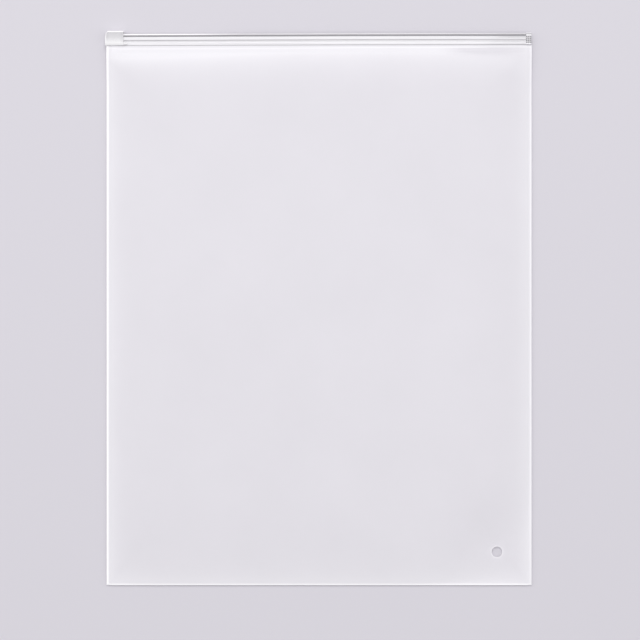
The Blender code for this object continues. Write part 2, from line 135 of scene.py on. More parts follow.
# The section's half depths, from the middle plane of the zip outwards
BEAD_HALF = 0.00150
WAIST_HALF = 0.00095
RAIL_HALF = 0.00180
NECK_HALF = 0.00085
RIDGE_HALF = 0.00100
TAIL_HALF = 0.00045
CHANNEL_HALF = 0.00050
INNER_HALF = 0.00010
SOFT_CORNER = 0.00032
MOST_OF_AN_EDGE = 0.45  # that a soft corner may take
WELD_GAP = 0.00005

# The snap, as distances from the middle of the main rail and from the middle plane
HOOK_FAR = 0.00110
HOOK_NEAR = 0.00035
HOOK_POCKET = 0.00070
HOOK_TIP = 0.00050
RIB_HALF = 0.00020
HEAD_HALF = 0.00055
HEAD_TIP = 0.00080
BAY_HALF = 0.00125
BAY_DEPTH = 0.00065

# The flattened, knurled ends of the tracks
CRUSH_LENGTH = 0.0050
CRUSH_END = 0.0005  # from the pads' outer ends to the film's cut edge
CRUSH_HALF = 0.00080
CRUSH_INNER_HALF = 0.00015
CRUSH_RISE = 0.0004
CRUSH_EASE = 0.0003  # length over which the profile melts into the pad
CRUSH_ROUNDING = 0.00016
KNURL_PITCH = 0.0016
KNURL_DEPTH = 0.00034
KNURL_COLUMNS = 3
KNURL_ROWS = 4
KNURL_MIDDLE = 0.0052  # of the knurled field, down from the zip's top edge
KNURL_STEEPNESS = 2.4
KNURL_LEVEL = 0.10

# The slider
RUNNING_GAP = 0.0003
SLIDER_LENGTH = 0.0151
SLIDER_ROOF = 0.0007
SLIDER_WALL = 0.0010
SLIDER_LIP = 0.0026  # height over which the walls slope in to their lower edges
SLIDER_LIP_DEPTH = 0.0012
SLIDER_LIP_MIDDLE_DEPTH = 0.0004
SLIDER_SLANT_HEIGHT = 0.0026  # of the slanted upper part of its outer end
SLIDER_SLANT = 0.9  # how far that part is set back, for each unit of height
SLIDER_SLANT_LENGTH = 0.006  # over which the set-back fades out along the slider
SLIDER_ROUNDING = 0.00035
SLIDER_ROUNDING_SHARE = 0.6
SLIDER_RIM = 0.0013
SLIDER_EDGE = 0.0003
SLIDER_RECESS = 0.00014
SLIDER_WAIST = 0.0030  # down from the tracks' top edge to a middle point of the walls
FOOT_START = 0.0061
FOOT_LENGTH = 0.0053
FOOT_HALF = 0.00035
FOOT_TAPER = 0.5
FOOT_GAP = 0.0004  # between the foot and the floor of the channel
TONGUE_LENGTH = 0.0036
TONGUE_THICKNESS = 0.0009
TONGUE_HEIGHT = 0.0021
TONGUE_ROOT = 0.002  # length of a tongue inside the slider's wall
TONGUE_TIP_SHARE = 0.45  # of a tongue's thickness that is left at its tip
INSIDE_FINISH = 0.35  # how much of the face's finish the foot and the tongues have

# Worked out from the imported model
film_low, film_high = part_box("film_pouch")
track_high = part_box("track_front")[1]
slider_low, slider_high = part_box("slider")
HALF_WIDTH = film_high.x
MOUTH_Y = film_high.y
AIR_DEPTH = film_high.z
FOLD_AXIS_Y = film_low.y + FOLD_RADIUS
TRACK_TOP_Y = track_high.y - CRUSH_RISE
ZIP_HEIGHT = (slider_low.z + slider_high.z) / 2
SLIDER_HALF = (slider_high.z - slider_low.z) / 2
SLIDER_X = slider_low.x
SLIDER_TOP = slider_high.y - TRACK_TOP_Y

# Worked out from the sizes above
INNER_EDGE = HALF_WIDTH - SEAM_WIDTH
WELD_HEIGHT = TAIL_LENGTH + EDGE_GAP
MOUTH_HALF = TAIL_HALF + WELD_GAP
FOLD_HALF = FOLD_RADIUS - FILM
FOLD_HEIGHT = FOLD_LIFT + FOLD_RADIUS
HOLE_X = HALF_WIDTH - HOLE_FROM_SIDE
HOLE_Y = FOLD_AXIS_Y - FOLD_RADIUS + HOLE_FROM_FOLD
RAIL_TOP = BEAD_HEIGHT + GROOVE_HEIGHT
RAIL_MIDDLE = RAIL_TOP + RAIL_HEIGHT / 2
RAIL_BOTTOM = RAIL_TOP + RAIL_HEIGHT
RIDGE_TOP = RAIL_BOTTOM + NECK_HEIGHT
RIDGE_BOTTOM = RIDGE_TOP + RIDGE_HEIGHT
COLLAR_BOTTOM = RIDGE_BOTTOM + COLLAR_HEIGHT
FILM_TOP = COLLAR_BOTTOM + EDGE_GAP
TAIL_BOTTOM = FILM_TOP + TAIL_LENGTH
CRUSH_START = HALF_WIDTH - CRUSH_LENGTH
CRUSH_BOTTOM = COLLAR_BOTTOM
TRACK_END = HALF_WIDTH - CRUSH_END
SLIDER_TOP_GAP = SLIDER_TOP - SLIDER_ROOF
SLIDER_BOTTOM = FILM_TOP - RUNNING_GAP
SLIDER_INNER_HALF = SLIDER_HALF - SLIDER_WALL
SHOULDER_HALF = RIDGE_HALF + RUNNING_GAP

# The zip's height over a level line at its left end and at its right one
ZIP_START = -0.00029
ZIP_END = 0.00070
ZIP_WAVE = 0.00003
ZIP_WAVE_LENGTHS = (0.021, 0.034)
FILM_FOLLOWS = 0.75  # share of the zip's rise that the film's top edge follows
CORNER_PULL = 0.0006  # of the film's left corner, up to the slider
CORNER_SHARE = 0.8  # of the slider's length, over which the corner is pulled up

# Soft folds of the front panel: place, angle, length, width and height
SAGS = [
    ((-0.090, 0.110), 25, 0.110, 0.060, -0.00035),
    ((0.080, 0.060), -15, 0.120, 0.070, -0.00040),
    ((-0.040, -0.070), 10, 0.130, 0.070, -0.00035),
    ((0.100, -0.120), -30, 0.090, 0.055, -0.00030),
    ((-0.110, -0.160), 40, 0.080, 0.050, -0.00025),
    ((0.010, 0.150), 0, 0.150, 0.030, -0.00020),
]
CREASES = [
    ((-0.015, 0.2060), 8, 0.011, 0.0030, -0.00022),
    ((0.119, 0.2010), -52, 0.016, 0.0050, -0.00025),
    ((0.152, 0.2050), -12, 0.016, 0.0045, -0.00035),
    ((-0.120, 0.1930), 35, 0.020, 0.0080, -0.00018),
    ((0.060, 0.1960), -20, 0.030, 0.0070, -0.00012),
    ((-0.065, 0.1990), 12, 0.024, 0.0060, -0.00012),
    ((0.150, -0.165), 75, 0.030, 0.0080, -0.00012),
    ((-0.155, 0.060), 80, 0.040, 0.0090, -0.00012),
]

# How white the zip's plastic is painted at heights down from its top edge, from 0, dark,
# to 1, white: towards the slider, and towards the knurled end. The 0s are painted shade
# in the groove under the bead, seen through clear plastic, the bead's 1s a painted
# highlight along the top edge, and the greys under the rail and at the collar painted
# shade; between them the values are partly the plastic's own milkiness.
SOLID_AND_PAINTED_LIGHT = [
    (0.0, 1.0, 1.0),
    (BEAD_HEIGHT, 1.0, 1.0),
    (BEAD_HEIGHT + STEP_SLOPE, 0.0, 0.0),
    (RAIL_TOP - STEP_SLOPE, 0.0, 0.0),
    (RAIL_TOP, 0.80, 0.80),
    (RAIL_BOTTOM, 0.78, 0.85),
    (RAIL_BOTTOM + STEP_SLOPE, 0.67, 0.95),
    (RIDGE_TOP, 0.67, 0.40),
    (RIDGE_TOP + STEP_SLOPE, 0.85, 1.0),
    (RIDGE_BOTTOM, 0.85, 0.85),
    (COLLAR_BOTTOM - STEP_SLOPE, 0.79, 0.79),
    (COLLAR_BOTTOM, 0.42, 0.36),
    (FILM_TOP, 0.42, 0.36),
    (TAIL_BOTTOM, 0.8, 0.5),
]
# A pad's values: a painted highlight on its top, a line of painted shade, then nearly white
PAD_SOLID_AND_PAINTED_LIGHT = [(0.0001, 1.0), (0.0004, 0.0), (0.0007, 0.0), (0.0010, 0.85)]

# Spans along the zip over which its painted light and shade change, and by how much they do
KNURLED_END_SPAN = (0.110, 0.045)
BEAD_SPAN = (-0.105, 0.045)
BEAD_HIGHLIGHT_LOSS = 0.33
END_SPAN = (0.125, 0.030)
END_SHADE = 0.13
UPPER_RAIL_SPAN = (0.140, 0.020)
UPPER_RAIL_SHADE = 0.22
FIELD_SHADE = 0.35
PIT_SHADE = 0.95

# Colours
MILKY = ((0.892, 0.868, 0.922), (0.917, 0.893, 0.947))
# The film's colour under the painted light
PAINTED_LIGHT_COLOUR = (0.955, 0.937, 0.980)
# White of fused film, and of the painted highlights on the seams and the fold
FUSED_AND_HIGHLIGHT = (0.995, 0.985, 1.000)
# Painted shade seen through clear plastic in the zip's grooves
SHADED_CLEAR_PLASTIC = (0.360, 0.352, 0.375)
DRAWN_PLASTIC = ((0.940, 0.920, 0.965), (1.000, 0.985, 1.000))
SLIDER_FACE = ((0.60, 0.588, 0.616), (0.68, 0.666, 0.70))
# The slider's white rim, a painted highlight on its rounded edges
SLIDER_RIM_HIGHLIGHT = (1.000, 0.990, 1.000)
PAPER = (0.665, 0.644, 0.694, 1.0)
SKY = (0.985, 0.985, 1.0, 1.0)
SEEN_SKY = (0.70, 0.68, 0.73, 1.0)

# The studio: its lamps with their places, sizes and powers
FLOOR_HALF = 12.0
SKY_STRENGTH = 0.462
LAMPS = [
    ("overhead", (0.0, 0.9, 3.0), (2.0, 2.0), 29.0),
    ("beyond_zip", (-0.2, 2.2, 2.4), (2.0, 1.2), 25.5),
    ("left_side", (-2.2, 0.7, 1.4), (1.2, 1.8), 7.0),
    ("right_side", (2.2, 0.0, 1.6), (1.2, 1.8), 5.0),
    ("below_fold", (0.0, -1.2, 3.2), (2.0, 1.0), 13.0),
]

# The camera
PICTURE = 640  # pixels a side
PIXEL = 0.0008224
VIEW = (0.00074, -0.0084)
LENS = 100.0
SENSOR = 36.0
FAR = 20.0


def smooth_step(value):
    """0 below 0, 1 above 1, and level at both ends: 3 v^2 - 2 v^3."""
    value = np.clip(value, 0.0, 1.0)
    return value * value * (3.0 - 2.0 * value)


def ramp(value, start, width):
    """A smooth step from 0 at start to 1 at start + width."""
    return smooth_step((value - start) / width)


def shoulder(distance, reach, rounding=ROUNDING):
    """0 at an edge and 1 from reach inwards: 1 - (1 - distance / reach)^rounding."""
    return 1.0 - (1.0 - np.clip(distance / reach, 0.0, 1.0)) ** rounding


def graded(stations):
    """Points from the first station to the last, through every one. A station is a place
    and the spacing wanted there, and between two of them the spacing changes evenly."""
    points = [np.array([stations[0][0]])]
    for (start, near), (end, far) in zip(stations, stations[1:]):
        count = max(1, round(2 * abs(end - start) / (near + far)))
        share = np.linspace(0.0, 1.0, count + 1)[1:]
        share = (2.0 * near * share + (far - near) * share**2) / (near + far)
        points.append(start + (end - start) * share)
    return np.concatenate(points)


def seam_line(y):
    """Height of the side seams: SEAM_HEIGHT, easing up to the zip's middle plane at the
    mouth and down to the fold's axis at the bottom."""
    to_mouth = smooth_step(1.0 - (MOUTH_Y - WELD_HEIGHT - y) / SEAM_REACH)
    to_fold = smooth_step(1.0 - (y - FOLD_AXIS_Y) / SEAM_REACH)
    rise = (ZIP_HEIGHT - SEAM_HEIGHT) * to_mouth
    return SEAM_HEIGHT + rise + (FOLD_HEIGHT - SEAM_HEIGHT) * to_fold


def least_gap(x, y):
    """Half the gap between two panels with no air between them: nothing at the seams,
    the fold's inside radius over the panels and the tracks' tails at the mouth."""
    apart = smooth_step((INNER_EDGE - np.abs(x)) / SEAM_TAPER)
    at_mouth = smooth_step(1.0 - (MOUTH_Y - WELD_HEIGHT - y) / BACK_REACH)
    return apart * (FOLD_HALF + (MOUTH_HALF - FOLD_HALF) * at_mouth)


def crease(x, y, at, angle, length, width, height):
    """A soft fold: height * exp(-(along / length)^2 - (across / width)^2), turned by
    angle degrees from the zip."""
    c, s = math.cos(math.radians(angle)), math.sin(math.radians(angle))
    along = (x - at[0]) * c + (y - at[1]) * s
    across = (y - at[1]) * c - (x - at[0]) * s
    return height * np.exp(-((along / length) ** 2) - (across / width) ** 2)


def relief(x, y):
    """What the front panel's film adds to its smooth shape: broad sags of the slack
    film and a few small creases, fading out at the seams, the zip and the fold."""
    total = np.zeros(np.broadcast(x, y).shape)
    for fold in SAGS + CREASES:
        total += crease(x, y, *fold)
    fade = smooth_step((INNER_EDGE - np.abs(x)) / RELIEF_FADE)
    fade = fade * smooth_step((MOUTH_Y - WELD_HEIGHT - y) / RELIEF_FADE_AT_ZIP)
    return total * fade * smooth_step((y - FOLD_AXIS_Y) / RELIEF_FADE)


def zip_line(x):
    """How far the zip runs above a level line: from ZIP_START to ZIP_END as
    1 - (1 - t)^2, with t from 0 to 1 along it, and a wave of a sine times a cosine."""
    left = (HALF_WIDTH - x) / (2 * HALF_WIDTH)
    rise = (ZIP_END - ZIP_START) * (1.0 - left**2)
    sine_length, cosine_length = ZIP_WAVE_LENGTHS
    return ZIP_START + rise + ZIP_WAVE * np.sin(x / sine_length) * np.cos(x / cosine_length)


def film_line(x):
    """How far the film's top edge runs above a level line: it starts with the zip and
    rises FILM_FOLLOWS times as far. Its left corner is pulled up to the parked slider."""
    corner = smooth_step((SLIDER_X + SLIDER_LENGTH - x) / (CORNER_SHARE * SLIDER_LENGTH))
    return ZIP_START + FILM_FOLLOWS * (zip_line(x) - ZIP_START) + CORNER_PULL * corner


def seal_line(x):
    """Distance of the seal's lower line from the film's top edge: SEAL_LINE, less a
    smooth step for each of SEAL_STEPS."""
    line = SEAL_LINE
    for start, width, less in SEAL_STEPS:
        line = line - less * ramp(x, start, width)
    return line


def back_inside(x, y):
    """Height of the back panel's inner face: it starts at the seam line, half the least
    gap below, and sinks as a product of three shoulders to the floor."""
    start, end = seam_line(y) - least_gap(x, y), FLOOR_GAP + FILM
    filled = shoulder(INNER_EDGE - np.abs(x), BACK_REACH)
    filled = filled * shoulder(y - FOLD_AXIS_Y, BACK_REACH)
    filled = filled * shoulder(MOUTH_Y - WELD_HEIGHT - y, MOUTH_REACH)
    return start + (end - start) * filled


def front_inside(x, y):
    """Height of the front panel's inner face: it starts at the seam line, half the least
    gap above, and rises as a product of three shoulders to the depth of the air. The air
    has left by the vent hole, so round it the panel sinks towards the back one, by the
    room between them times 1 - exp(-load / room), with a bell-shaped load."""
    gap = least_gap(x, y)
    start, end = seam_line(y) + gap, AIR_DEPTH - FILM
    filled = shoulder(INNER_EDGE - np.abs(x), SIDE_REACH)
    filled = filled * shoulder(y - FOLD_AXIS_Y, FOLD_REACH)
    filled = filled * shoulder(MOUTH_Y - WELD_HEIGHT - y, MOUTH_REACH, MOUTH_ROUNDING)
    height = start + (end - start) * filled + relief(x, y)
    room = np.maximum(height - back_inside(x, y) - 2 * gap, 0.0)
    from_hole = np.hypot(x - HOLE_X, y - HOLE_Y)
    load = HOLE_SAG * np.exp(-((from_hole / HOLE_SAG_REACH) ** 2))
    return height - room * (1.0 - np.exp(-load / (room + NEARLY)))


def seam_half(x):
    """Half the thickness of the fused seam: the film's own, and a round bead of radius
    SEAM_BEAD at the cut edge, sqrt(r^2 - (d - r)^2) at distance d from it."""
    distance = np.clip(HALF_WIDTH - np.abs(x), 0.0, None)
    bead = np.sqrt(np.clip(SEAM_BEAD**2 - (distance - SEAM_BEAD) ** 2, 0.0, None))
    return np.where(distance < SEAM_BEAD, bead, np.maximum(FILM, bead))


def draw_in(x, y):
    """Grid points drawn in round the vent hole, so that the square block of cells at
    its middle has the hole's circle as its edge: each point keeps its direction, and
    its distance becomes its square distance times HOLE_RADIUS / HOLE_BLOCK."""
    u, v = x - HOLE_X, y - HOLE_Y
    square = np.maximum(np.abs(u), np.abs(v))
    round_off = square / np.maximum(np.hypot(u, v), TINY) * HOLE_RADIUS / HOLE_BLOCK
    ease = 1.0 - smooth_step((square - HOLE_BLOCK) / (HOLE_EASE - HOLE_BLOCK))
    factor = 1.0 + ease * (round_off - 1.0)
    return HOLE_X + u * factor, HOLE_Y + v * factor


def web_rows():
    """The rows round the web, from the front mouth edge round the fold to the back one:
    their y, their side (1 front, -1 back, 0 round the fold) and their angle there."""
    panel_y = graded([
        (MOUTH_Y, 0.0009),
        (MOUTH_Y - WELD_HEIGHT, 0.0008),
        (MOUTH_Y - 0.020, 0.0012),
        (MOUTH_Y - 0.045, 0.0030),
        (0.060, 0.0075),
        (HOLE_Y + 0.030, 0.0050),
        (HOLE_Y + HOLE_BLOCK, HOLE_CELL),
        (HOLE_Y - HOLE_BLOCK, HOLE_CELL),
        (FOLD_AXIS_Y + 0.006, 0.0018),
        (FOLD_AXIS_Y, 0.0004),
    ])
    turns = np.linspace(math.pi / 2, -math.pi / 2, FOLD_STEPS + 1)[1:-1]
    level = np.zeros(panel_y.size)
    y = np.concatenate([panel_y, np.full(turns.size, FOLD_AXIS_Y), panel_y[::-1]])
    side = np.concatenate([level + 1.0, 0.0 * turns, level - 1.0])
    return y, side, np.concatenate([level, turns, level])


def web_columns():
    """Places across the bag between the seams' inner edges, closer together over the
    shoulders beside the seams and through the vent hole."""
    left = graded([
        (-INNER_EDGE, 0.0005),
        (-INNER_EDGE + SEAM_TAPER, 0.0008),
        (-INNER_EDGE + SIDE_REACH, 0.0034),
        (0.0, 0.0055),
    ])
    right = graded([
        (0.0, 0.0055),
        (HOLE_X - HOLE_EASE, 0.0030),
        (HOLE_X - HOLE_BLOCK, HOLE_CELL),
        (HOLE_X + HOLE_BLOCK, HOLE_CELL),
        (HOLE_X + HOLE_EASE, 0.0020),
        (INNER_EDGE - SEAM_TAPER, 0.0008),
        (INNER_EDGE, 0.0005),
    ])
    return np.concatenate([left, right[1:]])


def seam_columns():
    """Places over one seam's width, from its inner edge to its cut edge: two on the flat
    fused strip, as shares of the seam's width, then turns round the bead."""
    turns = np.radians([145, 120, 90, 60, 30, 0])
    flat = np.array([0.72, 0.47]) * SEAM_WIDTH
    return HALF_WIDTH - np.concatenate([flat, SEAM_BEAD * (1.0 - np.cos(turns))])


def skin(columns, rows, offset):
    """One face of the web as a grid of points: the inner face, moved out by offset. On
    the fold a point turns round the fold's axis at least_gap + offset."""
    y, side, angle = (part[:, None] for part in rows)
    x, y = draw_in(columns[None, :] + 0.0 * y, y + 0.0 * columns[None, :])
    line, radius = seam_line(y), least_gap(x, y) + offset
    front, back = front_inside(x, y) + offset, back_inside(x, y) - offset
    fold = line + radius * np.sin(angle)
    z = np.where(side > 0, front, np.where(side < 0, back, fold))
    y = np.where(side == 0, y - radius * np.cos(angle), y)
    y = y + film_line(x) * smooth_step(1.0 - (MOUTH_Y - WELD_HEIGHT - y) / MOUTH_REACH)
    return np.stack([x, y, z], axis=-1)


def cells(index, keep=None):
    """The faces of a grid of point numbers, one quad a cell, less those not kept."""
    quads = np.stack(
        [index[:-1, :-1], index[1:, :-1], index[1:, 1:], index[:-1, 1:]], axis=-1
    )
    return quads[keep] if keep is not None else quads.reshape(-1, 4)


def tube_faces(index):
    """The faces of a closed tube of point numbers, a row for each ring, and its ends."""
    tube = cells(np.concatenate([index, index[:, :1]], axis=1)).tolist()
    return tube + [index[0].tolist(), index[-1, ::-1].tolist()]


def square_loop(rows, columns):
    """Grid places round a block of cells, given its first and last row and column."""
    (top, bottom), (left, right) = rows, columns
    down, across = np.arange(top, bottom), np.arange(left, right)
    row = [down, np.full(across.size, bottom), down[::-1] + 1, np.full(across.size, top)]
    column = [np.full(down.size, left), across, np.full(down.size, right), across[::-1] + 1]
    return np.concatenate(row), np.concatenate(column)


def mesh_object(name, points, faces, attributes):
    """A smooth-shaded object from an array of points and a list of faces. Points that
    coincide are merged, points in no face are left out, and each attribute is a number
    for every point."""
    mesh = bpy.data.meshes.new(name)
    mesh.from_pydata(points.reshape(-1, 3).tolist(), [], faces)
    for label, values in attributes.items():
        layer = mesh.attributes.new(label, "FLOAT", "POINT")
        layer.data.foreach_set("value", np.asarray(values, np.float32).ravel())
    bm = bmesh.new()
    bm.from_mesh(mesh)
    bmesh.ops.remove_doubles(bm, verts=bm.verts, dist=NEARLY)
    bmesh.ops.dissolve_degenerate(bm, dist=NO_LENGTH, edges=bm.edges)
    loose = [vertex for vertex in bm.verts if not vertex.link_faces]
    bmesh.ops.delete(bm, geom=loose, context="VERTS")
    bm.to_mesh(mesh)
    bm.free()
    mesh.shade_smooth()
    mesh.set_sharp_from_angle(angle=SHARP_ANGLE)
    obj = bpy.data.objects.new(name, mesh)
    bpy.context.scene.collection.objects.link(obj)
    return obj


def film_pouch():
    """The folded web as one closed wall: an outer and an inner face, fused in the side
    seams and joined by rims round the open mouth and the vent hole."""
    rows, inner_columns = web_rows(), web_columns()
    seam = seam_columns()
    columns = np.concatenate([-seam[::-1], inner_columns, seam])
    first = seam.size
    last = first + inner_columns.size - 1
    outer = skin(columns, rows, seam_half(columns)[None, :])
    inner = skin(inner_columns, rows, 0.0)
    out = np.arange(outer.size // 3).reshape(outer.shape[:2])
    ins = np.arange(inner.size // 3).reshape(inner.shape[:2]) + out.size

    rest_y, side = rows[0], rows[1]
    hole_columns = np.nonzero(np.abs(columns - HOLE_X) < HOLE_BLOCK + NEARLY)[0]
    faces = []
    outer_keep = np.ones((out.shape[0] - 1, out.shape[1] - 1), bool)
    inner_keep = np.ones((ins.shape[0] - 1, ins.shape[1] - 1), bool)
    for panel in (1, -1):
        in_hole = (side == panel) & (np.abs(rest_y - HOLE_Y) < HOLE_BLOCK + NEARLY)
        rows_span = np.nonzero(in_hole)[0][[0, -1]]
        span = hole_columns[[0, -1]]
        outer_keep[rows_span[0]:rows_span[1], span[0]:span[1]] = False
        inner_keep[rows_span[0]:rows_span[1], span[0] - first:span[1] - first] = False
        row, column = square_loop(rows_span, span)
        loop = np.stack([ins[row, column - first], out[row, column]])
        faces += cells(np.concatenate([loop, loop[:, :1]], axis=1)).tolist()
    faces += cells(out, outer_keep).tolist()
    faces += cells(ins, inner_keep)[:, ::-1].tolist()

    faces += cells(np.stack([ins[0], out[0, first:last + 1]])).tolist()
    faces += cells(np.stack([out[-1, first:last + 1], ins[-1]])).tolist()
    left_end = cells(np.stack([out[-1, :first + 1], out[0, :first + 1]])).tolist()
    right_end = cells(np.stack([out[-1, last:], out[0, last:]])).tolist()
    a, b, c, d = left_end.pop(-1)
    left_end.append([a, b, c, ins[0, 0], d])
    a, b, c, d = right_end.pop(0)
    right_end.append([a, ins[0, -1], b, c, d])
    points = np.concatenate([outer.reshape(-1, 3), inner.reshape(-1, 3)])
    outside = np.arange(len(points)) < out.size
    attributes = {
        "weld_and_highlight": film_weld_and_highlight(points),
        "painted_light": film_painted_light(points),
        "frosting": outside,
    }
    return mesh_object("film_web", points, faces + left_end + right_end, attributes)


def film_weld_and_highlight(points):
    """How white the film is painted at each point, from 0 to 1: over the side seams and
    along the fold, where fused or doubled film carries a painted highlight, along the lower
    line of the zip's seal, and round the punched edge of the vent hole. The left seam is
    whiter, as painted light from the left, and the right one fades at its top."""
    x, y = points[:, 0], points[:, 1]
    # The seams' whiteness: fused film, and a painted highlight on the seam beads
    seam = smooth_step((np.abs(x) - INNER_EDGE + SEAM_SOFT) / (2 * SEAM_SOFT))
    # Painted light from the left: the right seam is less white
    loss = RIGHT_SEAM_LOSS + RIGHT_SEAM_TOP_LOSS * ramp(y, *RIGHT_SEAM_TOP)
    seam = seam * (1.0 - (x > 0) * loss)
    fold = 1.0 - ramp(y, FOLD_AXIS_Y, FOLD_WHITE_AND_HIGHLIGHT)
    from_hole = np.hypot(x - HOLE_X, y - HOLE_Y) - HOLE_RADIUS
    rim = RIM_WHITENESS * (1.0 - smooth_step(from_hole / RIM_PRESSED))
    from_line = (MOUTH_Y + film_line(x) - y - seal_line(x)) / SEAL_SOFT
    line = SEAL_WHITENESS * np.exp(-from_line**2)
    return np.maximum(np.maximum(seam, fold), np.maximum(rim, line))


def film_painted_light(points):
    """Painted light on the film's sloping edges, from 0 to 1: a band under the zip, wider on
    the left, that fades as exp(-distance / PAINTED_LIGHT_FADE), and such strips beside the
    seams and the fold. The band is cut back as painted shade in the seal, and just below
    it under the knurled end."""
    x, y = points[:, 0], points[:, 1]
    leftward = 1.0 - ramp(x, *PAINTED_LIGHT_LEFT_SPAN)
    below, seal = MOUTH_Y + film_line(x) - y, seal_line(x)
    past_band = np.clip(below - PAINTED_LIGHT_UNDER_ZIP - PAINTED_LIGHT_MORE_LEFT * leftward, 0.0, None)
    band = np.exp(-past_band / PAINTED_LIGHT_FADE)
    band = band * (1.0 - SEAL_EDGE_SHADE * smooth_step((seal - below) / SEAL_SOFT))
    under_end = ramp(below, seal, SEAL_SOFT) * np.exp(-((below - seal) / SHADE_UNDER_END_HEIGHT) ** 2)
    band = band * (1.0 - SHADE_UNDER_END * ramp(x, *SHADE_UNDER_END_SPAN) * under_end)
    from_seam = np.clip(INNER_EDGE - np.abs(x), 0.0, None)
    from_fold = np.clip(y - FOLD_AXIS_Y, 0.0, None)
    beside = SEAM_PAINTED_LIGHT * np.exp(-from_seam / SEAM_PAINTED_LIGHT_FADE)
    return np.maximum(band, np.maximum(beside, FOLD_PAINTED_LIGHT * np.exp(-from_fold / FOLD_PAINTED_LIGHT_FADE)))


def soft_outline(corners, steps=4):
    """A closed outline whose corners are short parabolas: each starts and ends at most
    SOFT_CORNER from its corner, and at most MOST_OF_AN_EDGE of an edge away."""
    corners = np.asarray(corners)
    before = np.roll(corners, 1, axis=0) - corners
    after = np.roll(corners, -1, axis=0) - corners
    cut = [
        np.minimum(SOFT_CORNER / np.hypot(*edge.T), MOST_OF_AN_EDGE)[:, None] * edge
        for edge in (before, after)
    ]
    t = np.linspace(0.0, 1.0, steps)[None, :, None]
    start, end = corners[:, None] + cut[0][:, None], corners[:, None] + cut[1][:, None]
    arc = (1 - t) ** 2 * start + 2 * t * (1 - t) * corners[:, None] + t**2 * end
    return arc.reshape(-1, 2)


def about_rail(half):
    """A snap's outline from half of it, given from the tail towards the middle of the
    main rail, and mirrored past the middle."""
    below = [(RAIL_MIDDLE + away, out) for away, out in half]
    return below + [(RAIL_MIDDLE - away, out) for away, out in reversed(half)]


def track_section(hooked):
    """A track's section as points (down from the top edge, out from the middle plane):
    its outer side from the top to the tail, and its inner side with its half of the
    snap. Beside it, the flattened pad's section with the same points."""
    outer = [
        (0.0, CHANNEL_HALF),
        (0.0, BEAD_HALF),
        (BEAD_HEIGHT, BEAD_HALF),
        (BEAD_HEIGHT + STEP_SLOPE, WAIST_HALF),
        (RAIL_TOP - STEP_SLOPE, WAIST_HALF),
        (RAIL_TOP, RAIL_HALF),
        (RAIL_MIDDLE, RAIL_HALF),
        (RAIL_BOTTOM, RAIL_HALF),
        (RAIL_BOTTOM + STEP_SLOPE, NECK_HALF),
        (RIDGE_TOP, NECK_HALF),
        (RIDGE_TOP + STEP_SLOPE, RIDGE_HALF),
        (RIDGE_BOTTOM - STEP_SLOPE, RIDGE_HALF),
        (RIDGE_BOTTOM, NECK_HALF),
        (COLLAR_BOTTOM - STEP_SLOPE, NECK_HALF),
        (COLLAR_BOTTOM, TAIL_HALF),
        (TAIL_BOTTOM, TAIL_HALF),
    ]
    if hooked:
        snap = [
            (HOOK_FAR, INNER_HALF),
            (HOOK_FAR, -HOOK_TIP / 2),
            ((HOOK_FAR + HOOK_NEAR) / 2, -HOOK_TIP),
            (HOOK_NEAR, -HOOK_TIP / 2),
            (HOOK_NEAR, -HOOK_TIP / 8),
            (HOOK_POCKET, -HOOK_TIP / 8),
            (HOOK_POCKET, HEAD_TIP + INNER_HALF),
        ]
    else:
        snap = [
            (BAY_HALF, INNER_HALF),
            (BAY_HALF, BAY_DEPTH),
            (RIB_HALF, BAY_DEPTH),
            (RIB_HALF, -INNER_HALF),
            (HEAD_HALF, -INNER_HALF),
            (HEAD_HALF, -2 * INNER_HALF),
            (RIB_HALF, -HEAD_TIP),
        ]
    inner = [(TAIL_BOTTOM, INNER_HALF)] + about_rail(snap)
    inner += [(RAIL_TOP - STEP_SLOPE, INNER_HALF), (RAIL_TOP - 2 * STEP_SLOPE, CHANNEL_HALF)]
    share = np.linspace(0.0, 1.0, len(outer) - 1)
    back = np.linspace(1.0, 0.0, len(inner) + 1)[:-1]
    height = CRUSH_BOTTOM + CRUSH_RISE
    pad = [(-CRUSH_RISE, CRUSH_INNER_HALF)]
    pad += [(height * part - CRUSH_RISE, CRUSH_HALF) for part in share]
    pad += [(height * part - CRUSH_RISE, CRUSH_INNER_HALF) for part in back]
    return soft_outline(outer + inner), soft_outline(pad)


